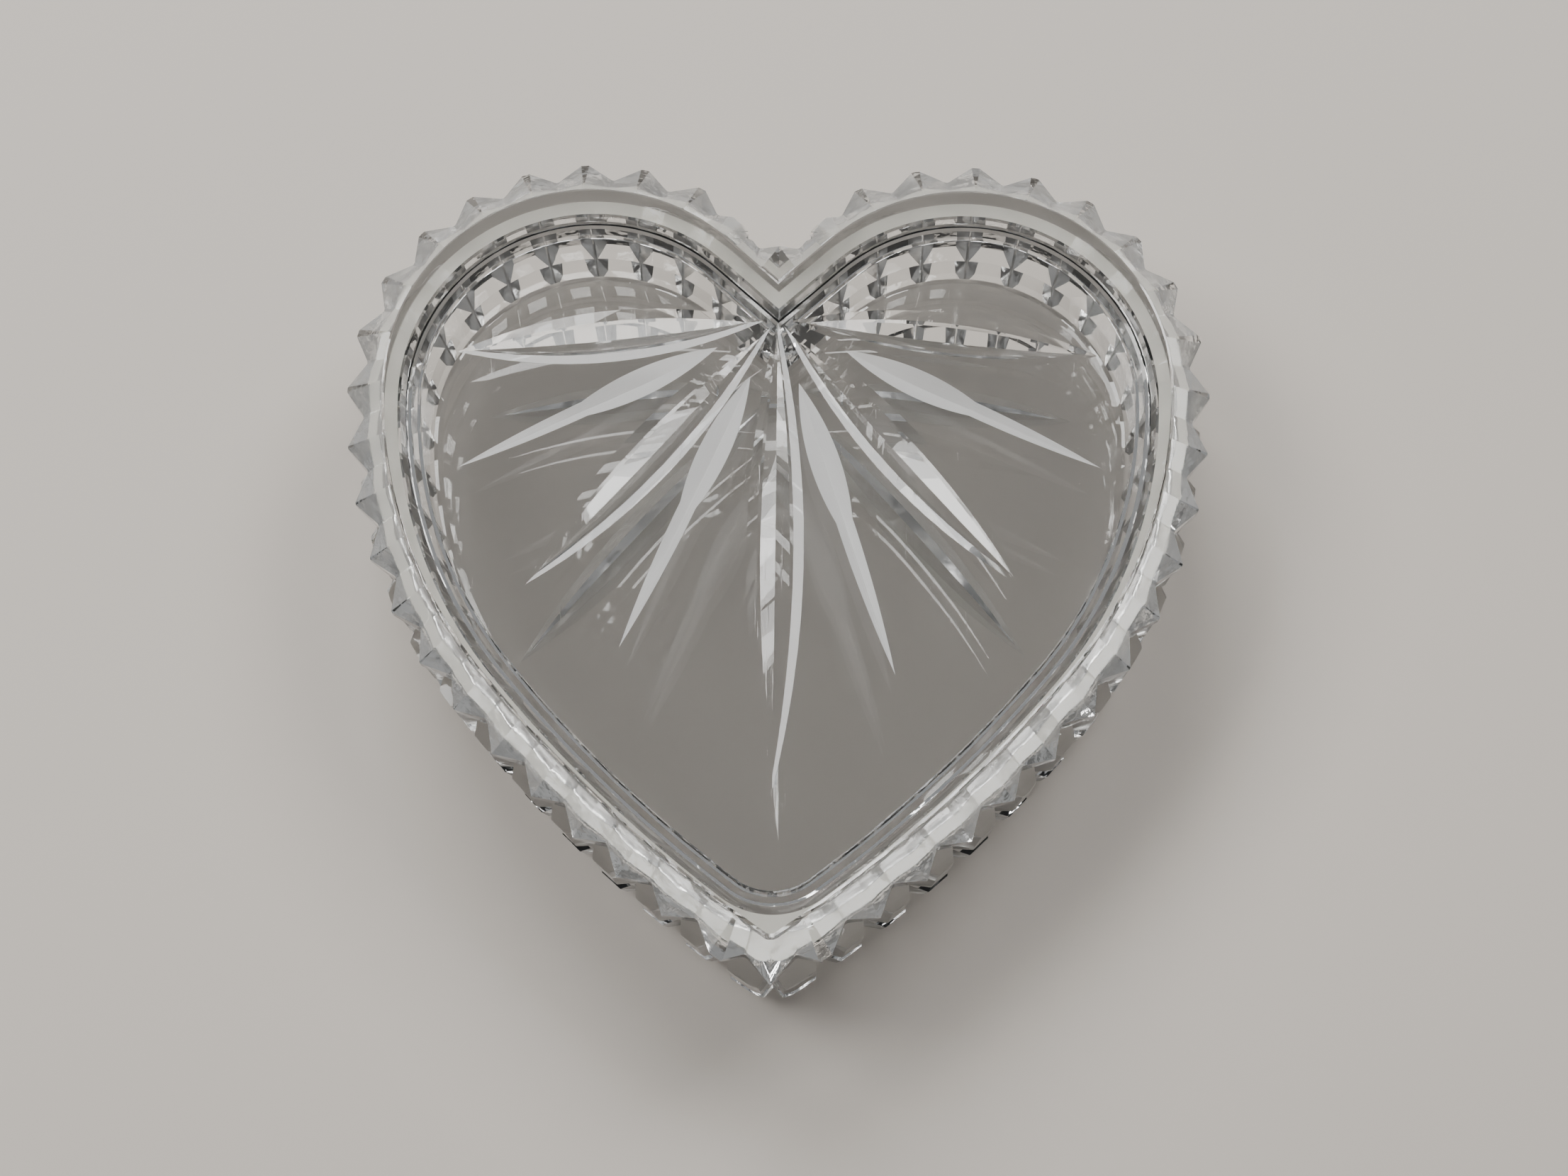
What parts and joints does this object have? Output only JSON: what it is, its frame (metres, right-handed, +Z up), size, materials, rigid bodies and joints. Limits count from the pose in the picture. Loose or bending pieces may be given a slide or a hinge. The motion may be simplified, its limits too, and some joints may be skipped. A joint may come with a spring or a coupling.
{
  "type": "heart-shaped trinket box",
  "caption": "Cut crystal heart-shaped trinket box: a thick-walled bowl with studded sides and a lift-off lid with a toothed edge and a fan of wheel cuts",
  "frame": {"origin": "centre of the footprint's bounding box, on the surface that the box stands on", "axes": "+Z up, +Y towards the two lobes, -Y towards the point of the heart, +X to the right seen from the point"},
  "size_m": [0.1116, 0.1076, 0.034],
  "materials": {
    "base_crystal": "clear crystal, fire-polished cuts, ground rim",
    "lid_crystal": "clear crystal, five polished and four matt wheel cuts on the top"
  },
  "bodies": {
    "base_body": {"box_base": "base_crystal"},
    "lid_body": {"lid": "lid_crystal"}
  },
  "joints": [
    {"name": "lid_lift", "type": "slide", "parent": "base_body", "child": "lid_body", "axis": [0, 0, 1], "range_m": [0, 0.04]}
  ]
}
